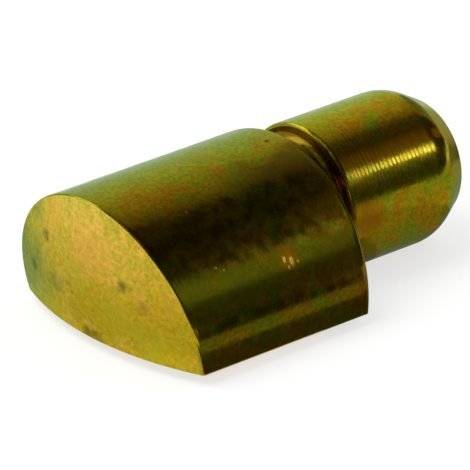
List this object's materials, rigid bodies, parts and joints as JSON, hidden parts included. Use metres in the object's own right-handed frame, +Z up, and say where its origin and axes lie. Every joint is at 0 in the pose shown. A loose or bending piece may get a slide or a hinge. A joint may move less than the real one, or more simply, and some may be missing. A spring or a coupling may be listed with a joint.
{
  "type": "shelf support pin",
  "caption": "Turned metal pin whose stub peg pushes into a hole in a cabinet's side, with a D-shaped domed head beside it that carries a shelf on its flat.",
  "frame": {"origin": "on the peg's axis, in the plane of the head's shoulder, which meets the cabinet's side", "axes": "+X along the peg to its tip, +Y across the head, +Z up from the flat to the crest; the pin lies on its flat, and is turned half round its peg for use"},
  "size_m": [0.0165, 0.01, 0.006],
  "materials": {
    "plated_steel": "zinc plated with a yellow, faintly green and red mottled passivation; smooth on the head, fine turning rings on the peg, matt and grainy on the domed end"
  },
  "bodies": {
    "root": {"pin": "plated_steel"}
  },
  "joints": []
}
